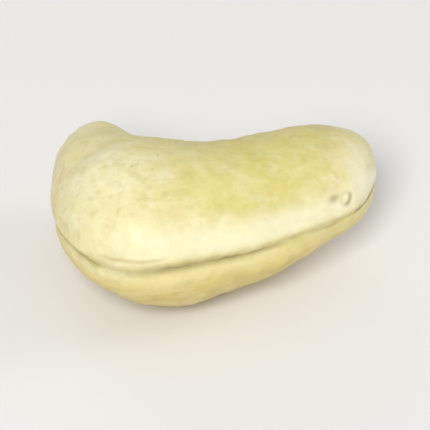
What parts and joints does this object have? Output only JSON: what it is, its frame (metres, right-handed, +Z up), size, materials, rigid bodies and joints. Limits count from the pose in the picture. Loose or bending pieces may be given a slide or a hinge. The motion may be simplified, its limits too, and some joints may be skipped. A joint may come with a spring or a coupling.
{
  "type": "cashew nut",
  "caption": "Whole shelled cashew kernel, a plump curved crescent with a seam between its seed halves, resting on a small flat spot.",
  "frame": {"origin": "centre of the bounding box, at the level of the surface the kernel lies on", "axes": "+X along the kernel from the horn at the blunt arm to the tip of the slim arm, +Y from the bend towards the open side of the crescent, +Z up"},
  "size_m": [0.0258, 0.018, 0.014],
  "materials": {
    "kernel_flesh": "satin"
  },
  "bodies": {
    "root": {"cashew_kernel": "kernel_flesh"}
  },
  "joints": []
}
